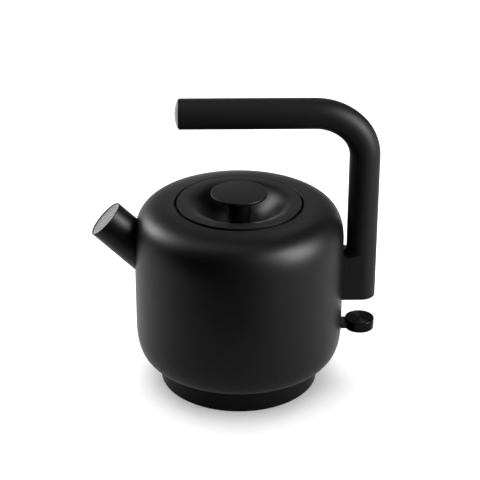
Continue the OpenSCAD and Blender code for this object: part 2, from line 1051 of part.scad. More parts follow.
// Torsion spring beside the hub. One leg lifts the arm and the other leg stands on the housing.
module switch_spring() {
    leg_out = 9;
    leg_down = 7;
    rings_a_turn = 16;
    last = spring_turns * rings_a_turn;
    centre = [pivot_x, spring_y, lever_z];
    end_y = [0, spring_turns * spring_pitch, 0];
    down = [0, 0, -1];
    front = [1, 0, 0];
    coil = [
        for (i = [0:last])
            let (turn = -90 - 360 * i / rings_a_turn, out = [cos(turn), 0, sin(turn)])
            [centre + spring_coil_r * out + [0, spring_pitch * i / rings_a_turn, 0], out]
    ];
    color("#c3c5c7")
        wire(concat(
            [[centre + spring_coil_r * down + leg_out * front, down]],
            coil,
            [[centre + spring_coil_r * front + end_y + leg_down * down, front]]
        ), spring_wire);
}

// Rocker in the control unit that the boil lever's tip works
module trip_lever() {
    nose_x = 19;
    rocker_r = 2.4;
    rocker_low = 42;
    rocker_t = 2.6;
    color("#d98b2b")
        difference() {
            union() {
                cross_cylinder(trip_x, trip_z, rocker_r, -trip_half, trip_half);
                translate([nose_x, -trip_half, rocker_low])
                    cube([trip_tip_x - nose_x, 2 * trip_half, rocker_t]);
            }
            cross_cylinder(trip_x, trip_z, trip_pin_r + running, -20, 20);
        }
}

base_housing();
base_bottom_plate();
base_foot_ring();
base_screws();
base_connector();
base_contacts();
cord_grommet();
kettle_shell();
lid_seat();
spout_tube();
spout_filter();
filter_rim();
floor_plate();
heat_spreader();
heating_element();
control_unit();
bimetal_disc();
connector_plug();
plug_pin();
plug_rings();
underside_cover();
cover_pillars();
cover_screws();
steam_tube();
handle_tube();
handle_foot();
handle_tongue();
handle_screws();
handle_end_cap();
switch_housing();
switch_pin();
trip_pin();
lid_cover();
lid_knob();
knob_screw();
lid_inner();
lid_seal();
lid_screws();
switch_arm();
switch_paddle();
paddle_screw();
switch_spring();
trip_lever();
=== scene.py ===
# %% [markdown]
# # Dressing an electric kettle
# The CAD model of this kettle comes in as a fixed frame: named pieces in their real places, which ride on
# the bodies that move. This lesson gives them their looks. We never move or bend a CAD piece. We either
# give it a finish, or we make a finer piece in the same place and say which CAD piece it stands for.
#
# The kettle is almost all matte black, so the form has to be told by soft light on clean curves. That is
# why the large pieces are made again here as exact lathe and sweep shapes, with normals that flow.

# %% Load the frame
import json
import math
import random

import bmesh
import bpy
from mathutils import Matrix, Vector


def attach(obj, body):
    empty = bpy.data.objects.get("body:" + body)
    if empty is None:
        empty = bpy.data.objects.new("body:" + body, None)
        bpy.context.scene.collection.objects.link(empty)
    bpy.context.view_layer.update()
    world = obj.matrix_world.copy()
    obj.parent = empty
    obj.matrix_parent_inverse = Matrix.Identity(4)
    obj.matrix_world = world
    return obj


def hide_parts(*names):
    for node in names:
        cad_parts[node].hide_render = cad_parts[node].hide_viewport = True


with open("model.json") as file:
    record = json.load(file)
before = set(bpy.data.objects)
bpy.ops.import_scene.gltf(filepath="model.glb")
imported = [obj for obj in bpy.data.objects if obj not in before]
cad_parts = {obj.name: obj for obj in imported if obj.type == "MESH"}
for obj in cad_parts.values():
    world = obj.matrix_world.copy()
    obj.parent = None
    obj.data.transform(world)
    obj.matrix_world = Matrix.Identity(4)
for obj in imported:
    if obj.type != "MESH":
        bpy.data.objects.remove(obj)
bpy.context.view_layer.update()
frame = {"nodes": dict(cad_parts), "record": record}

# %% [markdown]
# ## Camera
# A product camera stands well back with a long lens, so that the kettle's verticals hardly lean. This one
# looks down by 26 degrees: enough to see into the dish of the lid, and to see the round top of the boil
# lever. Its places are in metres, like those of the whole stage.

# %% Camera
CAMERA_AT = Vector((-0.02247, -1.18315, 0.71238))
CAMERA_TO = Vector((0.00077, 0.0, 0.12485))
CAMERA_LENS = 120.27
SENSOR_WIDTH = 36.0
CAMERA_ROLL = math.radians(0.125)


def in_scene(name, data):
    """A new object in the scene."""
    made = bpy.data.objects.new(name, data)
    bpy.context.scene.collection.objects.link(made)
    return made


camera = in_scene("camera", bpy.data.cameras.new("camera"))
bpy.context.scene.camera = camera
camera.data.lens = CAMERA_LENS
camera.data.sensor_width = SENSOR_WIDTH
camera.data.dof.use_dof = False
camera.location = CAMERA_AT
aim = (CAMERA_TO - CAMERA_AT).to_track_quat("-Z", "Y")
camera.rotation_mode = "QUATERNION"
camera.rotation_quaternion = aim @ Matrix.Rotation(CAMERA_ROLL, 3, "Z").to_quaternion()
bpy.context.scene.view_settings.view_transform = "Standard"
print("camera:", round((CAMERA_TO - CAMERA_AT).length, 2), "m away, with a lens of", CAMERA_LENS, "mm")

# %% [markdown]
# ## Node trees as plain arithmetic
# Materials and Geometry Nodes are both graphs. Wiring them line by line hides what they do, so a small
# class wraps a socket and lets us write sums on it: each operator adds one Math node. Every other kind of
# node comes from one method, which takes the kind, the settings, and the values or links of the node's
# sockets.

# %% Sockets that do sums
class Flow:
    """An output socket that can stand in arithmetic."""

    def __init__(self, tree, socket):
        self.tree, self.socket = tree, socket

    def __getitem__(self, name):
        """Another output of the same node."""
        return Flow(self.tree, self.socket.node.outputs[name])

    def math(self, operation, *others):
        """One Math node with this value first."""
        return self.tree.sum(operation, self, *others)

    def __add__(self, other):
        return self.math("ADD", other)

    def __sub__(self, other):
        return self.math("SUBTRACT", other)

    def __mul__(self, other):
        return self.math("MULTIPLY", other)

    def __truediv__(self, other):
        return self.math("DIVIDE", other)

    def __pow__(self, other):
        return self.math("POWER", other)

    __radd__ = __add__


class Tree:
    """A node tree, for a material or for Geometry Nodes."""

    def __init__(self, group):
        self.group = group

    def add(self, kind, settings=None, sockets=None):
        """A new node with its settings, and its input sockets linked or set. Gives its first output."""
        node = self.group.nodes.new(kind)
        for name, value in (settings or {}).items():
            setattr(node, name, value)
        for key, value in (sockets or {}).items():
            if isinstance(value, Flow):
                self.group.links.new(value.socket, node.inputs[key])
            else:
                node.inputs[key].default_value = value
        return Flow(self, node.outputs[0]) if node.outputs else None

    def sum(self, operation, *values):
        """A Math node over any mix of numbers and links."""
        return self.add("ShaderNodeMath", {"operation": operation}, dict(enumerate(values)))


# %% [markdown]
# ## The studio
# A white table in a white room lights everything evenly. On a black kettle that is not enough: what the
# eye sees there is what the coat mirrors. So the room's own light is kept out of the gloss, and the table
# and a few lamps take its place there.
#
# A black card lies on the front of the table and shows in gloss alone. It keeps the front of the body
# dark. It ends a little to the right of the kettle, so that the right flank still mirrors white table.

# %% Floor, room and black card
FLOOR_HALF = 4.0
FLOOR_TONE = 0.93
CARD_EDGE = -0.22
CARD_SIDE = 0.13
CARD_Z = 0.0005
ROOM_LIGHT = 1.45


def plane(name, spans, z, colour):
    """A level rectangle of the stage in one plain colour."""
    (left, right), (near, far) = spans
    mesh = bpy.data.meshes.new(name)
    corners = [(left, near, z), (right, near, z), (right, far, z), (left, far, z)]
    mesh.from_pydata(corners, [], [(0, 1, 2, 3)])
    made = in_scene(name, mesh)
    finish = bpy.data.materials.new(name)
    finish.use_nodes = True
    finish.node_tree.nodes.clear()
    tree = Tree(finish.node_tree)
    shader = tree.add("ShaderNodeBsdfDiffuse", None, {"Color": (colour, colour, colour, 1)})
    tree.add("ShaderNodeOutputMaterial", None, {"Surface": shader})
    mesh.materials.append(finish)
    return made


plane("floor", ((-FLOOR_HALF, FLOOR_HALF), (-FLOOR_HALF, FLOOR_HALF)), 0.0, FLOOR_TONE)
card = plane("black_card", ((-FLOOR_HALF, CARD_SIDE), (-FLOOR_HALF, CARD_EDGE)), CARD_Z, 0.0)
card.visible_camera = card.visible_diffuse = card.visible_shadow = False

world = bpy.data.worlds.new("room")
bpy.context.scene.world = world
world.use_nodes = True
sky = world.node_tree.nodes["Background"]
sky.inputs["Color"].default_value = (1, 1, 1, 1)
sky.inputs["Strength"].default_value = ROOM_LIGHT
world.cycles_visibility.glossy = False
print("a table, a black card on it, and a white room")

# %% [markdown]
# ## Soft boxes
# The lamps only show in gloss, as soft boxes do on any black thing: a tall one at each side for
# the flanks, one overhead for the shoulder, and a wide faint one at the back for the top faces. Two small
# strips behind the kettle are there for the turned face of the boil lever. The window is the other way
# round. It lights, and it doesn't show in gloss. It stands high at the back, so the base throws its soft
# shadow forwards.

# %% Lamps
LIGHT_TARGET = Vector((0.0, 0.0, 0.10))


def soft_box(name, azimuth, elevation, distance, size, radiance):
    """A lamp that shows in gloss alone. Azimuth 0 is the handle's side, 90 the back, 180 the spout's."""
    data = bpy.data.lights.new(name, "AREA")
    data.shape, data.size, data.size_y = "RECTANGLE", size[0], size[1]
    data.energy = radiance * math.pi * size[0] * size[1]
    made = in_scene(name, data)
    turn, lift = math.radians(azimuth), math.radians(elevation)
    away = Vector((math.cos(turn) * math.cos(lift), math.sin(turn) * math.cos(lift), math.sin(lift)))
    made.location = LIGHT_TARGET + away * distance
    made.rotation_mode = "QUATERNION"
    made.rotation_quaternion = away.to_track_quat("Z", "Y")
    made.visible_diffuse = False
    return made


soft_box("box_right", azimuth=-23, elevation=25, distance=2.1, size=(1.0, 1.5), radiance=60.0)
soft_box("box_left", azimuth=147, elevation=28, distance=2.2, size=(0.85, 1.0), radiance=38.0)
soft_box("box_top", azimuth=180, elevation=76, distance=1.7, size=(0.9, 1.6), radiance=3.0)
soft_box("box_back", azimuth=92, elevation=17, distance=3.1, size=(4.4, 1.8), radiance=0.55)
soft_box("strip_high", azimuth=76, elevation=43, distance=2.4, size=(0.18, 0.28), radiance=22.0)
soft_box("strip_low", azimuth=92, elevation=6, distance=2.6, size=(0.18, 0.22), radiance=11.0)
window = soft_box("window", azimuth=90, elevation=62, distance=2.8, size=(4.5, 1.8), radiance=2.2)
window.visible_diffuse = True
window.visible_glossy = False

# %% [markdown]
# ## Making meshes
# Most of this kettle is round. A lathe takes a closed outline of radius and height and turns it into a
# solid. We weld the points on the axis, let Blender point the faces outwards, and mark an edge as sharp
# only where the surface really turns a corner. All sizes of the kettle are millimetres, and one factor
# brings them to metres.

# %% Mesh helpers
MM = 0.001
SEGMENTS, FINE_SEGMENTS = 160, 192
SHARP = math.radians(32)
WELD_MM = 1e-4
ON_AXIS = 1e-6


def keep_corners(bm):
    """Marks an edge as sharp where the surface turns by SHARP or more, and where it is open."""
    for edge in bm.edges:
        edge.smooth = edge.calc_face_angle(math.pi) < SHARP


def reworked(made, work):
    """The object, after work(bm) has been done on its mesh."""
    bm = bmesh.new()
    bm.from_mesh(made.data)
    work(bm)
    bm.to_mesh(made.data)
    bm.free()
    return made


def as_object(name, bm):
    """A smooth object from a bmesh in millimetres, with its corners kept sharp."""
    bmesh.ops.remove_doubles(bm, verts=bm.verts, dist=WELD_MM)
    bmesh.ops.recalc_face_normals(bm, faces=bm.faces)
    bmesh.ops.scale(bm, vec=(MM, MM, MM), verts=bm.verts)
    return smooth_object(name, bm)


def smooth_object(name, bm):
    """The object of a bmesh that is in metres already."""
    for face in bm.faces:
        face.smooth = True
    keep_corners(bm)
    mesh = bpy.data.meshes.new(name)
    bm.to_mesh(mesh)
    bm.free()
    return in_scene(name, mesh)


def lathe(outline, segments=SEGMENTS, place=None):
    """A bmesh of a closed outline of (radius, height) points, turned about Z and then placed by a matrix."""
    bm = bmesh.new()
    rings = []
    for radius, height in outline:
        turns = range(segments) if radius > ON_AXIS else range(1)
        rings.append([
            bm.verts.new((
                radius * math.cos(math.tau * turn / segments),
                radius * math.sin(math.tau * turn / segments),
                height,
            ))
            for turn in turns
        ])
    for low, high in zip(rings, rings[1:] + rings[:1]):
        if len(low) == 1 and len(high) == 1:
            continue
        for turn in range(segments):
            after = (turn + 1) % segments
            corners = [low[turn % len(low)], low[after % len(low)]]
            corners += [high[after % len(high)], high[turn % len(high)]]
            bm.faces.new(list(dict.fromkeys(corners)))
    if place is not None:
        bmesh.ops.transform(bm, matrix=place, verts=bm.verts)
    return bm


def arc(radius, height, bend, start, stop, steps=8):
    """Points of a round edge about (radius, height), from one angle to another in degrees."""
    angles = [math.radians(start + (stop - start) * step / steps) for step in range(steps + 1)]
    return [(radius + bend * math.cos(angle), height + bend * math.sin(angle)) for angle in angles]


def baked(made):
    """The object's modifiers applied, as a plain mesh."""
    graph = bpy.context.evaluated_depsgraph_get()
    mesh = bpy.data.meshes.new_from_object(made.evaluated_get(graph), depsgraph=graph)
    made.modifiers.clear()
    made.data = mesh
    mesh.name = made.name
    return made


def cut(made, *cutters):
    """The object with the cutters' shapes taken out of it."""
    for cutter in cutters:
        step = made.modifiers.new("cut", "BOOLEAN")
        step.operation, step.solver, step.object = "DIFFERENCE", "EXACT", cutter
    baked(made)
    for cutter in cutters:
        bpy.data.objects.remove(cutter)
    return reworked(made, keep_corners)


# %% [markdown]
# ## Finishes
# Three families cover the kettle. A grained skin is for powder coat, moulded plastic and rubber: fine
# bumps, and slow clouds in colour and gloss that a hand or a cloth leaves. A drawn metal has long
# scratches one way. A turned metal has rings about an axis. Each reads Object coordinates in metres, so
# the grain has its real size.
#
# Even black paint mirrors a few hundredths of the light, and at a grazing angle far more. So the black
# coats have almost no colour of their own and a low specular level, and the flanks still catch a light
# edge. A metal turns into a white mirror at a grazing angle. Its tint holds that back on the boil lever,
# which is seen at a slant.

# %% Finish helpers
SCRATCH = 0.02 * MM


def material(name, build):
    """A new material whose surface is what build(tree) gives."""
    made = bpy.data.materials.new(name)
    made.use_nodes = True
    made.node_tree.nodes.clear()
    tree = Tree(made.node_tree)
    tree.add("ShaderNodeOutputMaterial", None, {"Surface": build(tree)})
    return made


def noise(tree, at, size_mm, detail=2.0):
    """Cloudy values from 0 to 1 whose clouds are about size_mm wide."""
    sockets = {"Vector": at, "Scale": 1.0 / (size_mm * MM), "Detail": detail}
    return tree.add("ShaderNodeTexNoise", None, sockets)["Fac"]


def tone(tree, amount, colour, other):
    """A colour that runs from one to the other."""
    mix = tree.add(
        "ShaderNodeMix",
        {"data_type": "RGBA"},
        {0: amount, 6: (*colour, 1.0), 7: (*other, 1.0)},
    )
    return Flow(tree, mix.socket.node.outputs[2])


def grained(name, colour, rough, grain_mm, relief, specular=0.5, cloud_mm=22.0, mottle=0.25):
    """A coat, plastic or rubber with a fine grain. The mottle is how far its colour strays either way."""
    def build(tree):
        at = tree.add("ShaderNodeTexCoord")["Object"]
        grain = noise(tree, at, grain_mm, 3.0)
        cloud = noise(tree, at, cloud_mm, 4.0)
        light = [channel * (1 + mottle) for channel in colour]
        dark = [channel * (1 - mottle) for channel in colour]
        depth = grain_mm * MM * 0.2
        bump = tree.add("ShaderNodeBump", None, {"Height": grain, "Strength": relief, "Distance": depth})
        return tree.add("ShaderNodeBsdfPrincipled", None, {
            "Base Color": tone(tree, cloud * 0.6 + grain * 0.4, dark, light),
            "Roughness": rough + (cloud - 0.5) * 0.08 + (grain - 0.5) * 0.1,
            "Specular IOR Level": specular,
            "Normal": bump,
        })
    return material(name, build)


def drawn(name, colour, rough, stretch=(1.0, 1.0, 30.0), line_mm=0.25, relief=0.15):
    """Metal with fine scratches, which run along the axis whose stretch is small."""
    def build(tree):
        at = tree.add("ShaderNodeTexCoord")["Object"]
        along = tree.add("ShaderNodeMapping", None, {"Vector": at, "Scale": stretch})
        lines = noise(tree, along, line_mm * max(stretch), 3.0)
        cloud = noise(tree, at, 14.0, 3.0)
        bump = tree.add("ShaderNodeBump", None, {"Height": lines, "Strength": relief, "Distance": SCRATCH})
        dark = [channel * 0.82 for channel in colour]
        return tree.add("ShaderNodeBsdfPrincipled", None, {
            "Base Color": tone(tree, lines * 0.5 + cloud * 0.5, dark, colour),
            "Roughness": rough + (lines - 0.5) * 0.16 + (cloud - 0.5) * 0.08,
            "Metallic": 1.0,
            "Normal": bump,
        })
    return material(name, build)


def turned(name, colour, rough, centre, axes, ring_mm=0.45, relief=0.12, tint=1.0):
    """Metal with rings about an axis through centre. The axes are the two that span the rings' plane."""
    def build(tree):
        at = tree.add("ShaderNodeTexCoord")["Object"]
        offset = [-value * MM for value in centre]
        moved = tree.add("ShaderNodeMapping", None, {"Vector": at, "Location": offset})
        parts = tree.add("ShaderNodeSeparateXYZ", None, {"Vector": moved})
        across, up = parts[axes[0]], parts[axes[1]]
        radius = (across * across + up * up) ** 0.5
        rings = (radius * (math.tau / (ring_mm * MM))).math("SINE") * 0.5 + 0.5
        cloud = noise(tree, at, 6.0, 4.0)
        height = rings * 0.6 + cloud * 0.4
        bump = tree.add("ShaderNodeBump", None, {"Height": height, "Strength": relief, "Distance": SCRATCH})
        dark = [channel * 0.85 for channel in colour]
        return tree.add("ShaderNodeBsdfPrincipled", None, {
            "Base Color": tone(tree, rings * 0.4 + cloud * 0.6, dark, colour),
            "Roughness": rough + (cloud - 0.5) * 0.1,
            "Metallic": 1.0,
            "Specular Tint": (tint, tint, tint, 1.0),
            "Normal": bump,
        })
    return material(name, build)


# %% The finishes of this kettle
PADDLE_X = 101.8
ARM_Z = 236.6

FINISH = {}


def keep(family, name, *values, **extras):
    """Puts a finish of this family into the table."""
    FINISH[name] = family(name, *values, **extras)


keep(grained, "black_coat", (0.0004, 0.0004, 0.0004), 0.44, 0.6, 0.10, specular=0.10)
keep(grained, "handle_coat", (0.0015, 0.0015, 0.0015), 0.52, 0.6, 0.10, specular=0.085)
keep(grained, "base_plastic", (0.0006, 0.0006, 0.0006), 0.44, 0.5, 0.15, specular=0.065)
keep(grained, "black_plastic", (0.004, 0.004, 0.004), 0.48, 0.5, 0.2, specular=0.25)
keep(grained, "knob_black", (0.0006, 0.0006, 0.0006), 0.44, 0.5, 0.10, specular=0.075)
keep(turned, "lever_metal", (0.006, 0.006, 0.0062), 0.16, (PADDLE_X, 0, 0), ("X", "Y"), tint=0.62)
keep(grained, "lever_arm", (0.002, 0.002, 0.002), 0.45, 0.4, 0.15, specular=0.12)
keep(turned, "cap_metal", (0.13, 0.13, 0.134), 0.42, (0, 0, ARM_Z), ("Y", "Z"), ring_mm=0.6)
keep(drawn, "filter_steel", (0.18, 0.18, 0.184), 0.36, (1.0, 12.0, 1.0))
keep(drawn, "inner_steel", (0.56, 0.55, 0.54), 0.30, (1.0, 1.0, 24.0))
keep(drawn, "spreader_metal", (0.70, 0.71, 0.72), 0.42, (1.0, 14.0, 1.0))
keep(grained, "element_sheath", (0.21, 0.19, 0.16), 0.46, 0.5, 0.3)
keep(grained, "control_plastic", (0.66, 0.62, 0.52), 0.44, 0.6, 0.15, mottle=0.05)
keep(turned, "bimetal", (0.62, 0.60, 0.56), 0.28, (0, 0, 0), ("X", "Y"))
keep(drawn, "contact_brass", (0.72, 0.49, 0.20), 0.26, (1.0, 1.0, 18.0))
keep(drawn, "screw_steel", (0.44, 0.44, 0.45), 0.30, (1.0, 1.0, 10.0))
keep(drawn, "spring_steel", (0.50, 0.50, 0.52), 0.24, (1.0, 10.0, 1.0))
keep(grained, "rocker_plastic", (0.62, 0.26, 0.05), 0.42, 0.5, 0.15, mottle=0.06)
keep(grained, "black_rubber", (0.010, 0.010, 0.010), 0.72, 0.5, 0.3)
keep(grained, "seal_silicone", (0.045, 0.045, 0.048), 0.55, 0.8, 0.15)
print(len(FINISH), "finishes")

# %% [markdown]
# ## Handing a piece over
# One helper hands every finished piece over. It hangs the piece on the body that it rides on, gives it the
# finish of its material slot if it has none yet, hides the CAD pieces that it stands for and prints their
# names. The body and the slot come from the CAD record itself. The helper also notes which CAD pieces are
# done, for the last step.

# %% Hand-over helper
BODY_OF = {node: body for body, nodes in frame["record"]["behaviour"]["bodies"].items() for node in nodes}
SLOT_OF = {row["node"]: row["material_slot"] for row in frame["record"]["subparts"]}
handed = set()


def hand_over(made, *nodes):
    """Hangs a piece on its body, gives it its slot's finish if it has none, and hides the CAD pieces it
    stands for.
    """
    slot = SLOT_OF[nodes[0]]
    if not made.data.materials:
        made.data.materials.append(FINISH[slot])
    handed.update(nodes)
    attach(made, BODY_OF[nodes[0]])
    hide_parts(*nodes)
    print(f"{made.name}: {len(made.data.polygons)} faces, for {', '.join(nodes)}")
    return made


# %% [markdown]
# ## Body
# The body is one deep-drawn steel shell. Its side runs from a flat underside through a tall lower corner,
# up a straight wall, and over a wide shoulder to a flat top. Both corners are superellipses, which leave
# the straight lines with no visible start. A circle would show a faint line there, because its curvature
# jumps. Each corner is given by its reach inwards, its height and its power.

# %% Body
BODY_R, BODY_TOP, BODY_BOTTOM, WALL = 86.2, 158.9, 21.4, 1.2
LOW = (22.0, 36.8, 3.2)
HIGH = (37.9, 36.7, 3.14)
MOUTH_R, LIP_R, NECK_BOTTOM = 52.9, 0.4, 141.9
COVER_HOLE_R = 52.0
CURVE_STEPS = 44
BODY_SEGMENTS = 224


def corner(power):
    """Points of a superellipse's quarter as shares of its size, from (0, 1) to (1, 0)."""
    turns = [math.pi / 2 * step / CURVE_STEPS for step in range(CURVE_STEPS + 1)]
    return [(math.sin(turn) ** (2 / power), max(math.cos(turn), 0.0) ** (2 / power)) for turn in turns]


def side(inset):
    """The body's side, moved in from the outer surface."""
    radius, low, high = BODY_R - inset, BODY_BOTTOM + inset, BODY_TOP - inset
    reach, rise = LOW[0] - inset, LOW[1] - inset
    points = [(radius - reach + reach * out, low + rise - rise * down) for out, down in corner(LOW[2])]
    reach, rise = HIGH[0] - inset, HIGH[1] - inset
    points += [(radius - reach + reach * out, high - rise + rise * up) for up, out in corner(HIGH[2])]
    return points


def open_side(inset, mouth):
    """The side without the part of the flat top that lies inside the mouth."""
    return [point for point in side(inset) if point[1] < BODY_TOP / 2 or point[0] > mouth]


outline = [(COVER_HOLE_R, BODY_BOTTOM), *open_side(0, MOUTH_R + LIP_R)]
outline += arc(MOUTH_R + LIP_R, BODY_TOP - LIP_R, LIP_R, 90, 180)
outline += [(MOUTH_R, NECK_BOTTOM), (MOUTH_R + WALL, NECK_BOTTOM), (MOUTH_R + WALL, BODY_TOP - WALL)]
outline += list(reversed(open_side(WALL, MOUTH_R + WALL))) + [(COVER_HOLE_R, BODY_BOTTOM + WALL)]
body = as_object("body", lathe(outline, BODY_SEGMENTS))

# %% [markdown]
# The spout and the boil lever's window go right through the wall. A Boolean takes them out. The cutters
# are plain shapes in the same place as the pieces that fill them, so no gap is left round the spout. Then
# the inside of the wall gets bare steel, and all the rest the black coat.

# %% Cut the body
SPOUT_R, SPOUT_ANGLE, SPOUT_Z, SPOUT_L = 16.7, 44.0, 123.0, 32.2
SPOUT_REACH = 30.0
SPOUT_SEGMENTS = 128
SPOUT_TILT = Matrix.Rotation(math.radians(SPOUT_ANGLE - 90), 4, "Y")
SPOUT_PLACE = Matrix.Translation((-BODY_R, 0, SPOUT_Z)) @ SPOUT_TILT
WINDOW = ((79.0, 109.0), (-6.2, 6.2), (39.6, 50.8))


def block(name, spans):
    """A box that fills three spans in millimetres, along X, Y and Z."""
    bm = bmesh.new()
    bmesh.ops.create_cube(bm, size=1.0)
    middle = [(low + high) / 2 for low, high in spans]
    for vert in bm.verts:
        vert.co = [middle[axis] + vert.co[axis] * (spans[axis][1] - spans[axis][0]) for axis in range(3)]
    return as_object(name, bm)


spout_core = [(0, -SPOUT_REACH), (SPOUT_R, -SPOUT_REACH), (SPOUT_R, SPOUT_L), (0, SPOUT_L)]
cut(
    body,
    as_object("spout_cutter", lathe(spout_core, SPOUT_SEGMENTS, SPOUT_PLACE)),
    block("window_cutter", WINDOW),
)
body.data.materials.clear()
body.data.materials.append(FINISH["black_coat"])
body.data.materials.append(FINISH["inner_steel"])
for polygon in body.data.polygons:
    middle = polygon.center
    radius, height = math.hypot(middle.x, middle.y) / MM, middle.z / MM
    outwards = polygon.normal.x * middle.x + polygon.normal.y * middle.y > 0
    in_cavity = radius > MOUTH_R + WALL / 2 and BODY_BOTTOM + WALL / 2 < height < BODY_TOP - WALL / 2
    polygon.material_index = 1 if in_cavity and not outwards else 0
hand_over(body, "kettle_shell")

# %% [markdown]
# ## Lid
# The lid is a pressed plate with a deep dish, so that fingers fit under the knob. Its section is a cosine
# wave between the flat rim and the flat middle. The wave gives the soft light and dark bands that circle
# the knob.
#
# A 2 mm gap runs round the lid, and the lid's rim stands 0.9 mm higher than the body. Seen from above and
# in front, the gap and the rim's own side make one dark line at the front, and the rim hides the gap at
# the back.

# %% Lid
LID_R, LID_EDGE, LID_T = 50.9, 0.2, 1.2
LID_TOP = BODY_TOP + 0.9
SEAT_Z = BODY_TOP - 7.9
DISH_Z, DISH_R, DISH_R0 = 143.2, 44.0, 12.0
KNOB_BORE = 2.2


def dish(drop):
    """The lid's upper face from the flat middle to the flat rim, lowered by drop."""
    points = []
    for step in range(CURVE_STEPS + 1):
        share = step / CURVE_STEPS
        rise = (LID_TOP - DISH_Z) * (1 - math.cos(math.pi * share)) / 2
        points.append((DISH_R0 + (DISH_R - DISH_R0) * share, DISH_Z + rise - drop))
    return points


outline = [(KNOB_BORE, DISH_Z), *dish(0), *arc(LID_R - LID_EDGE, LID_TOP - LID_EDGE, LID_EDGE, 90, 0)]
outline += [(LID_R, SEAT_Z), (LID_R - LID_T, SEAT_Z), (LID_R - LID_T, LID_TOP - LID_T)]
outline += [*reversed(dish(LID_T)), (KNOB_BORE, DISH_Z - LID_T)]
lid = as_object("lid", lathe(outline, FINE_SEGMENTS))
hand_over(lid, "lid_cover")

# %% [markdown]
# ## Knob
# A flat disc on a stem, with a hollow blend where the two meet. The disc's edges carry small rounds that
# catch one thin line of light, which is what separates a black disc from the black lid behind it. The top
# is left plain.

# %% Knob
KNOB_R, KNOB_T, KNOB_TOP = 23.1, 2.5, 168.3
KNOB_EDGE, STEM_R, STEM_BLEND = 0.9, 9.4, 2.4
KNOB_UNDER = KNOB_TOP - KNOB_T
BLEND_TURNS = [math.radians(9 * step) for step in range(11)]

outline = [(0, DISH_Z), (STEM_R, DISH_Z)]
outline += [
    (STEM_R + STEM_BLEND * (1 - math.cos(turn)), KNOB_UNDER - STEM_BLEND * (1 - math.sin(turn)))
    for turn in BLEND_TURNS
]
outline += arc(KNOB_R - KNOB_EDGE, KNOB_UNDER + KNOB_EDGE, KNOB_EDGE, -90, 0)
outline += arc(KNOB_R - KNOB_EDGE, KNOB_TOP - KNOB_EDGE, KNOB_EDGE, 0, 90) + [(0, KNOB_TOP)]
knob = as_object("knob", lathe(outline))
hand_over(knob, "lid_knob")

# %% [markdown]
# ## Spout
# A straight tube, welded to the wall at 44 degrees. Its inner end follows the inside of the body, so we
# build it too long and cut it off with a solid of the body's own inside.

# %% Spout
SPOUT_WALL, MOUTH_EDGE = 0.8, 0.3
SPOUT_BORE = SPOUT_R - SPOUT_WALL

outline = [(SPOUT_BORE, -SPOUT_REACH), (SPOUT_R, -SPOUT_REACH)]
outline += arc(SPOUT_R - MOUTH_EDGE, SPOUT_L - MOUTH_EDGE, MOUTH_EDGE, 0, 90, 4) + [(SPOUT_BORE, SPOUT_L)]
spout = as_object("spout", lathe(outline, SPOUT_SEGMENTS, SPOUT_PLACE))
inside = [(0, BODY_BOTTOM + WALL), *side(WALL), (0, BODY_TOP - WALL)]
cut(spout, as_object("inside_cutter", lathe(inside, FINE_SEGMENTS)))
hand_over(spout, "spout_tube")

# %% [markdown]
# ## Spout filter
# The filter is a thin steel disc with a field of round holes in hexagonal order. Nobody would place some
# 240 holes by hand, so Geometry Nodes does it. A grid of points gets every second row shifted by half a
# pitch, points outside the field are dropped, a drill stands on each point that is left, and one Boolean
# takes all the drills out of a disc. What a recipe is given is in metres.

# %% Geometry Nodes helpers
class Recipe(Tree):
    """A Geometry Nodes tree with named inputs."""

    KINDS = {
        float: "NodeSocketFloat",
        int: "NodeSocketInt",
        bool: "NodeSocketBool",
        type(None): "NodeSocketMaterial",
    }

    def __init__(self, name, **inputs):
        super().__init__(bpy.data.node_groups.new(name, "GeometryNodeTree"))
        face = self.group.interface
        face.new_socket("Geometry", in_out="OUTPUT", socket_type="NodeSocketGeometry")
        face.new_socket("Geometry", in_out="INPUT", socket_type="NodeSocketGeometry")
        for label, value in inputs.items():
            made = face.new_socket(label, in_out="INPUT", socket_type=self.KINDS[type(value)])
            if value is not None:
                made.default_value = value
        self.given = self.add("NodeGroupInput")

    def end(self, geometry, smooth):
        """The last steps of every recipe: real geometry, its shading, its finish, and the way out."""
        real = self.add("GeometryNodeRealizeInstances", None, {"Geometry": geometry})
        shaded = self.add("GeometryNodeSetShadeSmooth", None, {"Geometry": real, "Shade Smooth": smooth})
        finish = self.given["finish"]
        dressed = self.add("GeometryNodeSetMaterial", None, {"Geometry": shaded, "Material": finish})
        self.add("NodeGroupOutput", None, {"Geometry": dressed})

    def run(self, name, mesh, **values):
        """Runs the tree on a mesh and gives back a plain object."""
        made = in_scene(name, mesh)
        step = made.modifiers.new("recipe", "NODES")
        step.node_group = self.group
        for item in self.group.interface.items_tree:
            if item.in_out == "INPUT" and item.name in values:
                step[item.identifier] = values[item.name]
        return baked(made)


def points_mesh(name, points, edges=()):
    """Bare points in millimetres, and the edges of a path where there is one."""
    mesh = bpy.data.meshes.new(name)
    mesh.from_pydata([[value * MM for value in point] for point in points], list(edges), [])
    return mesh


# %% Pierced disc recipe
HOLE_SIDES, DISC_SIDES = 12, 96

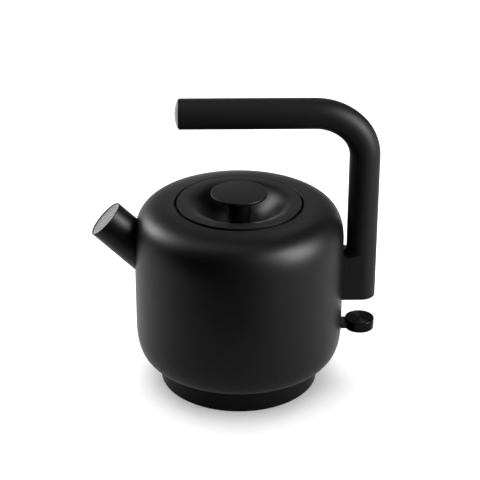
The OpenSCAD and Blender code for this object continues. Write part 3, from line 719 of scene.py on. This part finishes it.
pierced = Recipe(
    "pierced_disc",
    radius=0.0148,
    thickness=0.0005,
    hole=0.0011,
    pitch=0.0017,
    rim=0.0012,
    rows=23,
    finish=None,
)
given = pierced.given
row_step = given["pitch"] * (math.sqrt(3) / 2)
span = given["rows"] - 1
grid = pierced.add("GeometryNodeMeshGrid", None, {
    "Size X": given["pitch"] * span, "Size Y": row_step * span,
    "Vertices X": given["rows"], "Vertices Y": given["rows"],
})
where = pierced.add("GeometryNodeInputPosition")
spot = pierced.add("ShaderNodeSeparateXYZ", None, {"Vector": where})
row = (spot["Y"] / row_step).math("ROUND")
odd = row.math("PINGPONG", 1.0)
shift = pierced.add("ShaderNodeCombineXYZ", None, {"X": odd * given["pitch"] * 0.5})
field = pierced.add("GeometryNodeSetPosition", None, {"Geometry": grid, "Offset": shift})
reach = pierced.add("ShaderNodeVectorMath", {"operation": "LENGTH"}, {0: where})["Value"]
outside = reach.math("GREATER_THAN", given["radius"] - given["rim"])
kept = pierced.add(
    "GeometryNodeDeleteGeometry",
    {"domain": "POINT"},
    {"Geometry": field, "Selection": outside},
)
drill = pierced.add("GeometryNodeMeshCylinder", None, {
    "Vertices": HOLE_SIDES, "Radius": given["hole"] * 0.5, "Depth": given["thickness"] * 4.0,
})
drills = pierced.add("GeometryNodeInstanceOnPoints", None, {"Points": kept, "Instance": drill})
blank = pierced.add("GeometryNodeMeshCylinder", None, {
    "Vertices": DISC_SIDES, "Radius": given["radius"], "Depth": given["thickness"],
})
holes = pierced.add("GeometryNodeRealizeInstances", None, {"Geometry": drills})
disc = pierced.add(
    "GeometryNodeMeshBoolean",
    {"operation": "DIFFERENCE", "solver": "EXACT"},
    {"Mesh 1": blank, "Mesh 2": holes},
)
pierced.end(disc, False)

# %% Spout filter
FILTER_T = 0.5
FILTER_SEAT = SPOUT_L - 1.2

one_point = points_mesh("spout_mesh", [(0, 0, 0)])
filter_disc = pierced.run("spout_mesh", one_point, finish=FINISH["filter_steel"])
lift = Matrix.Translation((0, 0, (FILTER_SEAT + FILTER_T / 2) * MM))
place = SPOUT_PLACE.copy()
place.translation *= MM
filter_disc.data.transform(place @ lift)
hand_over(filter_disc, "spout_filter")

# %% [markdown]
# ## Tubes and wires
# The grip, the steam tube and the lever's spring are all one round section carried along a path. So one
# recipe makes them: it turns a chain of points into a curve and sweeps a circle along it. The paths are
# worked out in Python, where an arc or a helix is a few lines.

# %% Sweep recipe
sweep = Recipe("sweep", radius=0.012, sides=72, ends=True, finish=None)
path = sweep.add("GeometryNodeMeshToCurve", None, {"Mesh": sweep.given})
section = sweep.add(
    "GeometryNodeCurvePrimitiveCircle",
    {"mode": "RADIUS"},
    {"Resolution": sweep.given["sides"], "Radius": sweep.given["radius"]},
)
skin = sweep.add(
    "GeometryNodeCurveToMesh",
    None,
    {"Curve": path, "Profile Curve": section, "Fill Caps": sweep.given["ends"]},
)
sweep.end(skin, True)


def face_out(bm):
    """Turns the faces outwards and keeps the corners sharp."""
    bmesh.ops.recalc_face_normals(bm, faces=bm.faces)
    keep_corners(bm)


def swept(name, points, radius_mm, sides, finish, wall_mm=0.0):
    """A round bar along a path in millimetres, or a tube where a wall is given."""
    edges = [(index, index + 1) for index in range(len(points) - 1)]
    made = sweep.run(
        name,
        points_mesh(name, points, edges),
        radius=radius_mm * MM,
        sides=sides,
        ends=wall_mm == 0.0,
        finish=FINISH[finish],
    )
    reworked(made, face_out)
    if wall_mm > 0.0:
        shell = made.modifiers.new("wall", "SOLIDIFY")
        shell.thickness, shell.offset = wall_mm * MM, -1.0
        reworked(baked(made), face_out)
    return made


def bend(centre_x, centre_z, radius, start, stop, step=2.0):
    """Points of an arc in the plane of X and Z, from one angle to another in degrees."""
    count = round(abs(stop - start) / step)
    angles = [math.radians(start + (stop - start) * index / count) for index in range(count + 1)]
    return [
        (centre_x + radius * math.cos(angle), 0.0, centre_z + radius * math.sin(angle))
        for angle in angles
    ]


# %% [markdown]
# ## Handle
# The grip is a fat tube. It runs level over the lid and turns down on the side away from the spout. Its
# bend is wider at the top than at the bottom, so that it looks drawn by hand and not by compass. The tube
# stands in a foot, and the two meet flush under the same coat, as one piece to the eye.

# %% Handle tube
TUBE_R, TUBE_WALL, POST_X, ARM_REACH = 12.5, 1.6, 101.2, 48.2
FOOT_BOTTOM, FOOT_TOP = 74.4, 113.5
JOINT_Z = FOOT_TOP + 5
BEND_ARM, BEND_POST, HALF_TURN = 43.6, 34.0, math.radians(45)
PATH_STEP = 4
HANDLE_SIDES = 96

bend_x = POST_X - BEND_POST - (BEND_ARM - BEND_POST) * math.sin(HALF_TURN)
knee_x = POST_X - BEND_POST
knee_z = ARM_Z - BEND_ARM + (BEND_ARM - BEND_POST) * math.cos(HALF_TURN)
level_steps = int((ARM_REACH + bend_x) / PATH_STEP)
post_steps = int((knee_z - JOINT_Z) / PATH_STEP)
centre_line = [(-ARM_REACH + PATH_STEP * step, 0.0, ARM_Z) for step in range(level_steps)]
centre_line += bend(bend_x, ARM_Z - BEND_ARM, BEND_ARM, 90, 45)
centre_line += bend(knee_x, knee_z, BEND_POST, 45, 0)[1:]
centre_line += [
    (POST_X, 0.0, knee_z + (JOINT_Z - knee_z) * (step + 1) / post_steps)
    for step in range(post_steps)
]
handle = swept("handle", centre_line, TUBE_R, HANDLE_SIDES, "handle_coat", TUBE_WALL)
hand_over(handle, "handle_tube")

# %% [markdown]
# The foot is a loft. Every level outline of it has three parts: round about the post, flat beside it, and
# an arc towards the body. Near the top that arc closes in on the tube in a hollow curve, which is the
# saddle. As all the outlines have the same number of points, one skin joins them. A spigot on top fits
# inside the tube. Then the body's own shape, the slot for the tongue that holds the handle, and two
# stepped screw holes are cut out.

# %% Handle foot
FOOT_EDGE, FOOT_END, SADDLE_R = 0.4, 23.2, 4.0
SPIGOT_GAP = 0.05
SPIGOT_R, SPIGOT_H = TUBE_R - TUBE_WALL - SPIGOT_GAP, 20.0
TONGUE = ((BODY_R - 10, POST_X + 3.3), (-3.6, 3.6), (81.8, 106.2))
HANDLE_SCREW_X = (93.0, 101.0)
HEAD_HOLE_R, HEAD_HOLE_H = 3.6, 3.3
SHANK_HOLE_R, SHANK_HOLE_H = 2.1, 11
ROUND_STEPS, FLAT_STEPS, ARC_STEPS, EDGE_STEPS = 60, 8, 24, 6
LEAST_REACH = 1e-4
HOLE_SEGMENTS = 32


def foot_outline(height, inset, reach):
    """A level outline of the foot, moved in by the inset. Its arc has the reach as its radius."""
    half = TUBE_R - inset
    far = max(reach, half + LEAST_REACH)
    run = math.sqrt(far * far - half * half)
    edge = math.asin(half / far)
    front = [math.radians(-90 + 180 * step / ROUND_STEPS) for step in range(ROUND_STEPS + 1)]
    back = [edge - 2 * edge * step / ARC_STEPS for step in range(ARC_STEPS + 1)]
    points = [(POST_X + half * math.cos(turn), half * math.sin(turn)) for turn in front]
    points += [(POST_X - run * step / FLAT_STEPS, half) for step in range(1, FLAT_STEPS)]
    points += [(POST_X - far * math.cos(turn), far * math.sin(turn)) for turn in back]
    points += [(POST_X - run * step / FLAT_STEPS, -half) for step in range(FLAT_STEPS - 1, 0, -1)]
    return [(x, y, height) for x, y in points]


def loft(outlines):
    """A bmesh skin over closed outlines with the same number of points, with both ends filled."""
    bm = bmesh.new()
    rings = [[bm.verts.new(point) for point in outline] for outline in outlines]
    count = len(rings[0])
    for low, high in zip(rings, rings[1:]):
        for index in range(count):
            after = (index + 1) % count
            bm.faces.new((low[index], low[after], high[after], high[index]))
    bm.faces.new(rings[0])
    bm.faces.new(rings[-1])
    return bm


round_turns = [math.radians(90 * step / EDGE_STEPS) for step in range(EDGE_STEPS + 1)]
levels = [
    foot_outline(FOOT_BOTTOM + FOOT_EDGE * (1 - math.sin(turn)), FOOT_EDGE * (1 - math.cos(turn)), FOOT_END)
    for turn in reversed(round_turns)
]
levels.append(foot_outline(FOOT_TOP, 0, FOOT_END))
levels += [
    foot_outline(FOOT_TOP + SADDLE_R * (1 - math.cos(turn)), 0, TUBE_R + SADDLE_R * (1 - math.sin(turn)))
    for turn in round_turns
]
levels.append(foot_outline(JOINT_Z, 0, TUBE_R))
levels.append(foot_outline(JOINT_Z, TUBE_R - SPIGOT_R, SPIGOT_R))
levels.append(foot_outline(JOINT_Z + SPIGOT_H, TUBE_R - SPIGOT_R, SPIGOT_R))
foot = as_object("handle_foot", loft(levels))

body_outside = [(0, BODY_BOTTOM), *side(0), (0, BODY_TOP)]
stepped = [(0, FOOT_BOTTOM - 1), (HEAD_HOLE_R, FOOT_BOTTOM - 1)]
stepped += [(HEAD_HOLE_R, FOOT_BOTTOM + HEAD_HOLE_H), (SHANK_HOLE_R, FOOT_BOTTOM + HEAD_HOLE_H)]
stepped += [(SHANK_HOLE_R, FOOT_BOTTOM + SHANK_HOLE_H), (0, FOOT_BOTTOM + SHANK_HOLE_H)]
holes = [
    as_object("screw_cutter", lathe(stepped, HOLE_SEGMENTS, Matrix.Translation((screw_x, 0, 0))))
    for screw_x in HANDLE_SCREW_X
]
cut(
    foot,
    as_object("body_cutter", lathe(body_outside, BODY_SEGMENTS)),
    block("tongue_cutter", TONGUE),
    *holes,
)
foot.data.materials.append(FINISH["handle_coat"])
hand_over(foot, "handle_foot")

# %% [markdown]
# A shallow metal dome closes the arm. Between it and the tube runs a reveal, half a millimetre wide and
# one deep. That dark line is what tells the eye that the cap is a piece of its own. A spigot behind it
# fills the tube's end.

# %% Handle end cap
REVEAL, REVEAL_DEEP, CAP_BULGE, CAP_SPIGOT_H = 0.5, 1, 2.9, 9.0
CAP_STEPS = 14
ALONG_ARM = Matrix.Translation((0, 0, ARM_Z)) @ Matrix.Rotation(math.radians(-90), 4, "Y")

rim = ARM_REACH + REVEAL
sphere_r = (TUBE_R ** 2 + CAP_BULGE ** 2) / (2 * CAP_BULGE)
spread = math.asin(TUBE_R / sphere_r)
outline = [(0, ARM_REACH - CAP_SPIGOT_H), (SPIGOT_R, ARM_REACH - CAP_SPIGOT_H), (SPIGOT_R, ARM_REACH)]
outline += [(TUBE_R - REVEAL_DEEP, ARM_REACH), (TUBE_R - REVEAL_DEEP, rim)]
outline += [
    (sphere_r * math.sin(turn), rim + CAP_BULGE - sphere_r * (1 - math.cos(turn)))
    for turn in (spread * (1 - step / CAP_STEPS) for step in range(CAP_STEPS + 1))
]
cap = as_object("handle_cap", lathe(outline, HANDLE_SIDES, ALONG_ARM))
hand_over(cap, "handle_end_cap")

# %% [markdown]
# ## Power base
# A moulded dish, upside down. Its wide rim stands up round a sunk plate, and the kettle's underside drops
# into that. A low flat ring on the plate carries the kettle, and a hole in the middle lets the post of
# the round connector through. We turn the dish here with the bosses for its screws, and drill the cord
# entry at the back.

# %% Base housing
BASE_R, BASE_H, BASE_WALL, BASE_EDGE, SKIRT_Z = 66.0, 15.0, 2.2, 1.2, 0.3
COLLAR_R, COLLAR_TOP = 53.5, 20.8
REST_IN, REST_OUT, COVER_Z = 43.0, 48.5, 15.4
POST_R, CORD_Z, GROMMET_R = 17.6, 8.1, 4.1
PLATE_TOP = 3.4
BASE_BOSS_AT, BASE_BOSS_R, BASE_PILOT_R = 50.0, 3.5, 1.2
SKIRT_EDGE, REST_SLOPE, POST_GAP = 0.2, 0.15, 0.3
CORD_WAY_IN, CORD_WAY_L = 8, 16
BOSS_SEGMENTS, CORD_SEGMENTS = 32, 48
THIRDS = [math.radians(30 + 120 * third) for third in range(3)]


def about_z(turn, radius, height=0.0):
    """The point at this turn about the kettle's axis."""
    return Vector((radius * math.cos(turn), radius * math.sin(turn), height))


under = BASE_H - BASE_WALL
outline = [(BASE_R - BASE_WALL, SKIRT_Z)]
outline += arc(BASE_R - SKIRT_EDGE, SKIRT_Z + SKIRT_EDGE, SKIRT_EDGE, -90, 0, 3)
outline += arc(BASE_R - BASE_EDGE, COLLAR_TOP - BASE_EDGE, BASE_EDGE, 0, 90)
outline += arc(COLLAR_R + BASE_EDGE, COLLAR_TOP - BASE_EDGE, BASE_EDGE, 90, 180)
outline += [(COLLAR_R, BASE_H), (REST_OUT, BASE_H), (REST_OUT - REST_SLOPE, COVER_Z)]
outline += [(REST_IN + REST_SLOPE, COVER_Z), (REST_IN, BASE_H), (POST_R + POST_GAP, BASE_H)]
outline += [(POST_R + POST_GAP, under), (COLLAR_R + BASE_WALL, under)]
outline += [(COLLAR_R + BASE_WALL, COLLAR_TOP - BASE_WALL), (BASE_R - BASE_WALL, COLLAR_TOP - BASE_WALL)]
base = lathe(outline, FINE_SEGMENTS)
pillar = [(BASE_PILOT_R, PLATE_TOP), (BASE_BOSS_R, PLATE_TOP), (BASE_BOSS_R, under), (BASE_PILOT_R, under)]
for turn in THIRDS:
    boss = lathe(pillar, BOSS_SEGMENTS, Matrix.Translation(about_z(turn, BASE_BOSS_AT)))
    boss_mesh = bpy.data.meshes.new("boss")
    boss.to_mesh(boss_mesh)
    base.from_mesh(boss_mesh)
base_top = as_object("base", base)
to_the_back = Matrix.Rotation(math.radians(-90), 4, "X")
cord_place = Matrix.Translation((0, BASE_R - CORD_WAY_IN, CORD_Z)) @ to_the_back
cord_way = [(0, 0), (GROMMET_R, 0), (GROMMET_R, CORD_WAY_L), (0, CORD_WAY_L)]
cut(base_top, as_object("cord_cutter", lathe(cord_way, CORD_SEGMENTS, cord_place)))
hand_over(base_top, "base_housing")

# %% [markdown]
# ## Boil lever
# The paddle is a turned metal disc. A lathe tool leaves fine rings on its face, and each ring has its own
# slant. A lamp then shows as two bright wedges that meet in the middle, which no flat face can give. So
# the rings are real geometry: one groove every 0.3 mm, with slants drawn by a seeded random generator.
# The pocket for the lever's arm and its screw is cut in from below.

# %% Lever paddle
PADDLE_R, PADDLE_BOTTOM, PADDLE_TOP, PADDLE_EDGE = 12.3, 42.8, 51.6, 0.5
GROOVE, SLANT_LOW, SLANT_HIGH = 0.30, 9.5, 14.0
FACE_LAND = 0.2
DIMPLE_R, DIMPLE_DEEP = 0.7, 0.35
LEVER_Z, ARM_HALF, ARM_T = 46.4, 5.5, 5.5
PADDLE_PLACE = Matrix.Translation((PADDLE_X, 0, 0))
PADDLE_SEGMENTS, POCKET_SEGMENTS = 144, 64
POCKET_GAP, SCREW_WAY_R, PADDLE_SKIN = 0.1, 1.5, 0.9
RING_SLACK, GROOVE_SHARP = 0.01, math.radians(1.5)
arm_top = LEVER_Z + ARM_T / 2
pocket = ARM_HALF + POCKET_GAP

slants = random.Random(7)
face_points = [(PADDLE_R - PADDLE_EDGE, PADDLE_TOP)]
radius = PADDLE_R - PADDLE_EDGE - FACE_LAND
while radius > DIMPLE_R + GROOVE:
    depth = GROOVE / 2 * math.tan(math.radians(slants.uniform(SLANT_LOW, SLANT_HIGH)))
    face_points += [(radius, PADDLE_TOP), (radius - GROOVE / 2, PADDLE_TOP - depth)]
    radius -= GROOVE
face_points += [(DIMPLE_R, PADDLE_TOP), (DIMPLE_R * 0.5, PADDLE_TOP - DIMPLE_DEEP * 0.8)]
face_points += [(0, PADDLE_TOP - DIMPLE_DEEP)]
outline = [(0, PADDLE_BOTTOM)]
outline += arc(PADDLE_R - PADDLE_EDGE, PADDLE_BOTTOM + PADDLE_EDGE, PADDLE_EDGE, -90, 0, 4)
outline += arc(PADDLE_R - PADDLE_EDGE, PADDLE_TOP - PADDLE_EDGE, PADDLE_EDGE, 0, 90, 4)[:-1] + face_points
paddle = as_object("lever_paddle", lathe(outline, PADDLE_SEGMENTS, PADDLE_PLACE))
arm_way = ((PADDLE_X - 2 * PADDLE_R, PADDLE_X), (-pocket, pocket), (PADDLE_BOTTOM - 1, arm_top))
pocket_sides = [(0, PADDLE_BOTTOM - 1), (pocket, PADDLE_BOTTOM - 1), (pocket, arm_top)]
pocket_sides += [(SCREW_WAY_R, arm_top), (SCREW_WAY_R, PADDLE_TOP - PADDLE_SKIN)]
pocket_sides += [(0, PADDLE_TOP - PADDLE_SKIN)]
cut(
    paddle,
    as_object("pocket_cutter", lathe(pocket_sides, POCKET_SEGMENTS, PADDLE_PLACE)),
    block("arm_cutter", arm_way),
)


def is_ring_edge(edge):
    """True for an edge that runs round the paddle's axis."""
    reaches = [math.hypot(vert.co.x / MM - PADDLE_X, vert.co.y / MM) for vert in edge.verts]
    return abs(reaches[0] - reaches[1]) < RING_SLACK


def sharpen_grooves(bm):
    """Keeps each groove of the paddle's face crisp. Its slants are too slight for keep_corners to see."""
    for edge in bm.edges:
        on_face = all(vert.co.z / MM > PADDLE_TOP - PADDLE_EDGE / 2 for vert in edge.verts)
        if on_face and is_ring_edge(edge) and edge.calc_face_angle(0) > GROOVE_SHARP:
            edge.smooth = False


hand_over(reworked(paddle, sharpen_grooves), "switch_paddle")

# %% [markdown]
# ## Screws
# One recipe makes every screw. Its inputs are the head, the shank and the length. It joins two cylinders,
# takes the socket for a hexagon key out of the head, and puts the result on every point of the mesh that
# it is given.

# %% Screw recipe
driver = Recipe(
    "cap_screw",
    head_radius=0.0028,
    head_height=0.0016,
    shank_radius=0.0014,
    length=0.010,
    sides=40,
    finish=None,
)
given = driver.given


def driver_cylinder(sides, radius, low, height):
    """A cylinder of the recipe that starts at the height low."""
    sockets = {"Vertices": sides, "Radius": radius, "Depth": height}
    made = driver.add("GeometryNodeMeshCylinder", None, sockets)
    rise = driver.add("ShaderNodeCombineXYZ", None, {"Z": height * 0.5 + low})
    return driver.add("GeometryNodeTransform", None, {"Geometry": made, "Translation": rise})


head = driver_cylinder(given["sides"], given["head_radius"], 0.0, given["head_height"])
shank = driver_cylinder(given["sides"], given["shank_radius"], 0.0, given["length"])
socket = driver_cylinder(6, given["head_radius"] * 0.5, -0.0002, given["head_height"] * 0.6)
blank = driver.add("GeometryNodeMeshBoolean", {"operation": "UNION", "solver": "EXACT"})
driver.group.links.new(head.socket, blank.socket.node.inputs["Mesh 2"])
driver.group.links.new(shank.socket, blank.socket.node.inputs["Mesh 2"])
screw = driver.add(
    "GeometryNodeMeshBoolean",
    {"operation": "DIFFERENCE", "solver": "EXACT"},
    {"Mesh 1": blank, "Mesh 2": socket},
)
placed = driver.add("GeometryNodeInstanceOnPoints", None, {"Points": given, "Instance": screw})
driver.end(placed, True)


def screws(node, places, head, shank):
    """The screws of one node, heads down, at places in mm. Head and shank are (radius, height) pairs."""
    made = driver.run(
        node,
        points_mesh(node, places),
        head_radius=head[0] * MM,
        head_height=head[1] * MM,
        shank_radius=shank[0] * MM,
        length=shank[1] * MM,
        finish=FINISH[SLOT_OF[node]],
    )
    hand_over(reworked(made, face_out), node)


# %% All the screws
PILLAR_TURNS = [math.radians(60 + 120 * third) for third in range(3)]
PILLAR_AT, LID_BOSS_AT = 47.5, 38.0
LID_INNER_Z = DISH_Z - 6.4
PLATE_Z = 1.4

# Each place is where the face of a screw's head lies.
base_places = [about_z(turn, BASE_BOSS_AT, PLATE_Z + 0.1) for turn in THIRDS]
cover_places = [about_z(turn, PILLAR_AT, COVER_Z + 0.1) for turn in PILLAR_TURNS]
foot_places = [(screw_x, 0, FOOT_BOTTOM + 0.6) for screw_x in HANDLE_SCREW_X]
knob_place = (0, 0, DISH_Z - LID_T - 2.4)
lid_places = [about_z(turn, LID_BOSS_AT, LID_INNER_Z - 1.6) for turn in THIRDS]
paddle_place = (PADDLE_X, 0, LEVER_Z - ARM_T / 2 - 0.2)

screws("base_screws", base_places, head=(2.9, 1.1), shank=(1.15, 9.0))
screws("cover_screws", cover_places, head=(2.7, 1.7), shank=(1.45, 13.0))
screws("handle_screws", foot_places, head=(3.4, 2.6), shank=(1.95, 21.0))
screws("knob_screw", [knob_place], head=(3.6, 2.4), shank=(1.95, 14.0))
screws("lid_screws", lid_places, head=(2.8, 1.6), shank=(1.15, 11.0))
screws("paddle_screw", [paddle_place], head=(2.8, 1.4), shank=(1.45, 7.1))

# %% [markdown]
# ## Pipe and spring
# Two more paths for the sweep. The steam tube comes down beside the wall and bends into the control unit.
# The boil lever's spring is a helix with two straight legs.

# %% Steam tube
STEAM_AT, STEAM_TURN, STEAM_R, STEAM_WALL, STEAM_TOP = 76.0, math.radians(18), 4.0, 0.8, 136.0
RUN_Z, ELBOW_R, CONTROL_R = 34.0, 7.0, 27.0
STEAM_SIDES, SPRING_SIDES = 40, 10

elbow = bend(STEAM_AT - ELBOW_R, RUN_Z + ELBOW_R, ELBOW_R, 0, -90, 9.0)
steam_line = [(STEAM_AT, 0.0, STEAM_TOP), *elbow, (CONTROL_R, 0.0, RUN_Z)]
turned_line = [Matrix.Rotation(STEAM_TURN, 3, "Z") @ Vector(point) for point in steam_line]
steam_tube = swept("steam_tube", turned_line, STEAM_R, STEAM_SIDES, "inner_steel", STEAM_WALL)
hand_over(steam_tube, "steam_tube")

# %% Return spring
SPRING_WIRE, SPRING_TURNS, SPRING_PITCH, SPRING_Y = 0.45, 2.75, 1.15, 2.95
SPRING_R = ARM_T / 2 + SPRING_WIRE
LEG_OUT, LEG_DOWN, PIVOT_X = 9.0, 7.0, 66.0
STEPS_A_TURN = 24

helix = []
for step in range(int(SPRING_TURNS * STEPS_A_TURN) + 1):
    turn = -math.pi / 2 - math.tau * step / STEPS_A_TURN
    along = SPRING_Y + SPRING_PITCH * step / STEPS_A_TURN
    helix.append((PIVOT_X + SPRING_R * math.cos(turn), along, LEVER_Z + SPRING_R * math.sin(turn)))

first_leg = (PIVOT_X + LEG_OUT, SPRING_Y, LEVER_Z - SPRING_R)
last_leg = (PIVOT_X + SPRING_R, helix[-1][1], LEVER_Z - LEG_DOWN)
spring_line = [first_leg, *helix, last_leg]
spring = swept("return_spring", spring_line, SPRING_WIRE, SPRING_SIDES, "spring_steel")
hand_over(spring, "switch_spring")

# %% [markdown]
# ## The rest of the frame
# Every CAD piece that is left has the right shape already. Its mesh is loose triangles, which would shade
# in facets. So we copy it, merge its points and smooth it with the corners kept. The copy takes the
# finish of its slot.

# %% Smooth copies
WELD_M = 1e-6

for node in SLOT_OF:
    if node in handed:
        continue
    bm = bmesh.new()
    bm.from_mesh(frame["nodes"][node].data)
    bmesh.ops.remove_doubles(bm, verts=bm.verts, dist=WELD_M)
    hand_over(smooth_object(f"{node}_smooth", bm), node)
